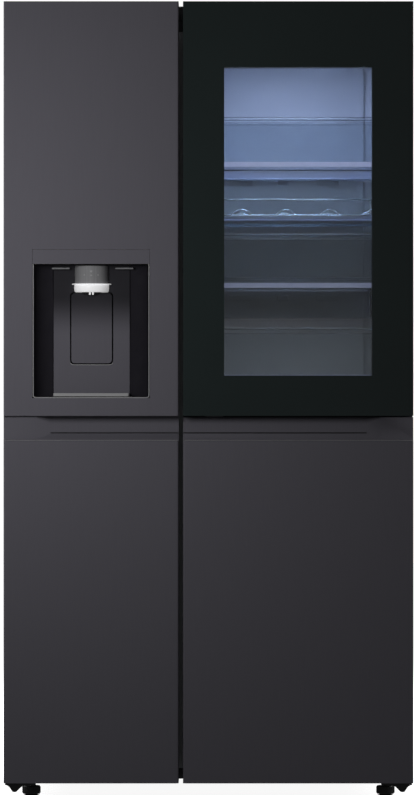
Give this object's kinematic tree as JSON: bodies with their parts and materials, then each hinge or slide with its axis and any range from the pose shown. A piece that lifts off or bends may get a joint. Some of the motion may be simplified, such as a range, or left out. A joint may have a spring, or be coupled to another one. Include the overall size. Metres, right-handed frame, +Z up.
{
  "type": "side by side refrigerator",
  "caption": "Side by side refrigerator, dispenser in the freezer door, see-through door-in-door on the fridge side, glass shelves and drawers inside.",
  "frame": {"origin": "middle of the overall width and depth, on the floor under the feet", "axes": "+Z up, +X to the right seen from the front, the doors face -Y"},
  "size_m": [0.913, 0.735, 1.79],
  "materials": {
    "door_finish": "satin graphite sheet, slightly violet",
    "case_paint": "fine textured dark grey paint",
    "black_glass": "polished tinted glass",
    "black_plastic": "fine matt grain",
    "dark_gloss_plastic": "smooth dark gloss",
    "white_plastic": "smooth cool white liner",
    "clear_plastic": "clear moulded plastic",
    "shelf_glass": "clear green-edged glass with a pale trim",
    "foam": "rigid insulation foam",
    "seal_rubber": "soft magnetic seal",
    "wheel_rubber": "hard tread",
    "chrome": "bright plated",
    "steel": "zinc plated sheet",
    "tray_steel": "satin dark tray",
    "copper": "drawn copper tube and fins",
    "compressor_paint": "black enamel"
  },
  "bodies": {
    "cabinet": {"outer_case": "case_paint", "back_panel": "case_paint", "foam_insulation": "foam", "mullion_cover": "steel", "freezer_liner": "white_plastic", "fridge_liner": "white_plastic", "base_plate": "steel", "top_cover": "black_plastic", "hinge_top_left": "black_plastic", "hinge_top_right": "black_plastic", "hinge_bottom_left": "black_plastic", "hinge_bottom_right": "black_plastic", "machine_cover": "case_paint", "compressor": "compressor_paint", "condenser": "copper", "evaporator": "steel", "cable_gland": "seal_rubber", "fridge_duct_cover": "white_plastic", "freezer_duct_cover": "white_plastic", "fridge_lamp": "white_plastic", "shelf_upper": "shelf_glass", "shelf_middle": "shelf_glass", "shelf_lower": "shelf_glass", "crisper_cover": "shelf_glass", "freezer_shelf_upper": "shelf_glass", "freezer_shelf_lower": "shelf_glass", "bottle_rack": "chrome"},
    "freezer_door": {"freezer_door_skin": "door_finish", "freezer_door_foam": "foam", "freezer_door_liner": "white_plastic", "freezer_door_gasket": "seal_rubber", "dispenser_housing": "dark_gloss_plastic", "dispenser_panel": "black_glass", "dispenser_head": "chrome", "ice_maker": "white_plastic", "freezer_door_basket_upper": "clear_plastic", "freezer_door_basket_lower": "clear_plastic"},
    "fridge_door": {"fridge_door_skin": "door_finish", "fridge_door_foam": "foam", "fridge_door_liner": "white_plastic", "fridge_door_gasket": "seal_rubber", "door_basket_upper": "clear_plastic", "door_basket_middle": "clear_plastic", "door_basket_lower": "clear_plastic"},
    "window_door": {"window_glass": "black_glass", "window_door_frame": "black_plastic", "window_door_gasket": "seal_rubber"},
    "leveller_left": {"leveller_left": "black_plastic"},
    "leveller_right": {"leveller_right": "black_plastic"},
    "roller_left": {"roller_left": "wheel_rubber"},
    "roller_right": {"roller_right": "wheel_rubber"},
    "condenser_fan": {"condenser_fan": "black_plastic"},
    "snack_drawer": {"snack_drawer": "clear_plastic"},
    "crisper_upper": {"crisper_upper": "clear_plastic"},
    "crisper_lower": {"crisper_lower": "clear_plastic"},
    "freezer_drawer_upper": {"freezer_drawer_upper": "clear_plastic"},
    "freezer_drawer_lower": {"freezer_drawer_lower": "clear_plastic"},
    "dispenser_paddle": {"dispenser_paddle": "dark_gloss_plastic"},
    "drip_tray": {"drip_tray": "tray_steel"},
    "release_button": {"release_button": "chrome"}
  },
  "joints": [
    {"name": "freezer_door_hinge", "type": "hinge", "parent": "cabinet", "child": "freezer_door", "pos_m": [-0.4285, -0.3045, 0.9], "axis": [0, 0, -1], "range_deg": [0, 110]},
    {"name": "fridge_door_hinge", "type": "hinge", "parent": "cabinet", "child": "fridge_door", "pos_m": [0.4285, -0.3045, 0.9], "axis": [0, 0, 1], "range_deg": [0, 110]},
    {"name": "window_door_hinge", "type": "hinge", "parent": "fridge_door", "child": "window_door", "pos_m": [0.4365, -0.3525, 1.3], "axis": [0, 0, -1], "range_deg": [-100, 0]},
    {"name": "dispenser_paddle_hinge", "type": "hinge", "parent": "freezer_door", "child": "dispenser_paddle", "pos_m": [-0.26145, -0.3045, 1.129], "axis": [1, 0, 0], "range_deg": [0, 8], "stiffness_Nm_per_rad": 0.4, "springref_deg": -6.88},
    {"name": "drip_tray_slide", "type": "slide", "parent": "freezer_door", "child": "drip_tray", "axis": [0, -1, 0], "range_m": [0, 0.06]},
    {"name": "release_button_slide", "type": "slide", "parent": "window_door", "child": "release_button", "axis": [0, 0, 1], "range_m": [0, 0.0024], "stiffness_N_per_m": 400, "springref_m": -0.002},
    {"name": "leveller_left_turn", "type": "hinge", "parent": "cabinet", "child": "leveller_left", "pos_m": [-0.401, -0.192, 0.02], "axis": [0, 0, 1], "continuous": true},
    {"name": "leveller_right_turn", "type": "hinge", "parent": "cabinet", "child": "leveller_right", "pos_m": [0.401, -0.192, 0.02], "axis": [0, 0, 1], "continuous": true},
    {"name": "roller_left_spin", "type": "hinge", "parent": "cabinet", "child": "roller_left", "pos_m": [-0.401, 0.3, 0.02], "axis": [1, 0, 0], "continuous": true},
    {"name": "roller_right_spin", "type": "hinge", "parent": "cabinet", "child": "roller_right", "pos_m": [0.401, 0.3, 0.02], "axis": [1, 0, 0], "continuous": true},
    {"name": "condenser_fan_spin", "type": "hinge", "parent": "cabinet", "child": "condenser_fan", "pos_m": [-0.118, 0.256, 0.144], "axis": [1, 0, 0], "continuous": true},
    {"name": "snack_drawer_slide", "type": "slide", "parent": "cabinet", "child": "snack_drawer", "axis": [0, -1, 0], "range_m": [0, 0.151]},
    {"name": "crisper_upper_slide", "type": "slide", "parent": "cabinet", "child": "crisper_upper", "axis": [0, -1, 0], "range_m": [0, 0.151]},
    {"name": "crisper_lower_slide", "type": "slide", "parent": "cabinet", "child": "crisper_lower", "axis": [0, -1, 0], "range_m": [0, 0.151]},
    {"name": "freezer_drawer_upper_slide", "type": "slide", "parent": "cabinet", "child": "freezer_drawer_upper", "axis": [0, -1, 0], "range_m": [0, 0.151]},
    {"name": "freezer_drawer_lower_slide", "type": "slide", "parent": "cabinet", "child": "freezer_drawer_lower", "axis": [0, -1, 0], "range_m": [0, 0.151]}
  ],
  "couplings": [
    {"joint": "snack_drawer_slide", "follows": "fridge_door_hinge", "m_per_rad": 0.078131},
    {"joint": "crisper_upper_slide", "follows": "fridge_door_hinge", "m_per_rad": 0.078131},
    {"joint": "crisper_lower_slide", "follows": "fridge_door_hinge", "m_per_rad": 0.078131},
    {"joint": "freezer_drawer_upper_slide", "follows": "freezer_door_hinge", "m_per_rad": 0.078131},
    {"joint": "freezer_drawer_lower_slide", "follows": "freezer_door_hinge", "m_per_rad": 0.078131}
  ]
}
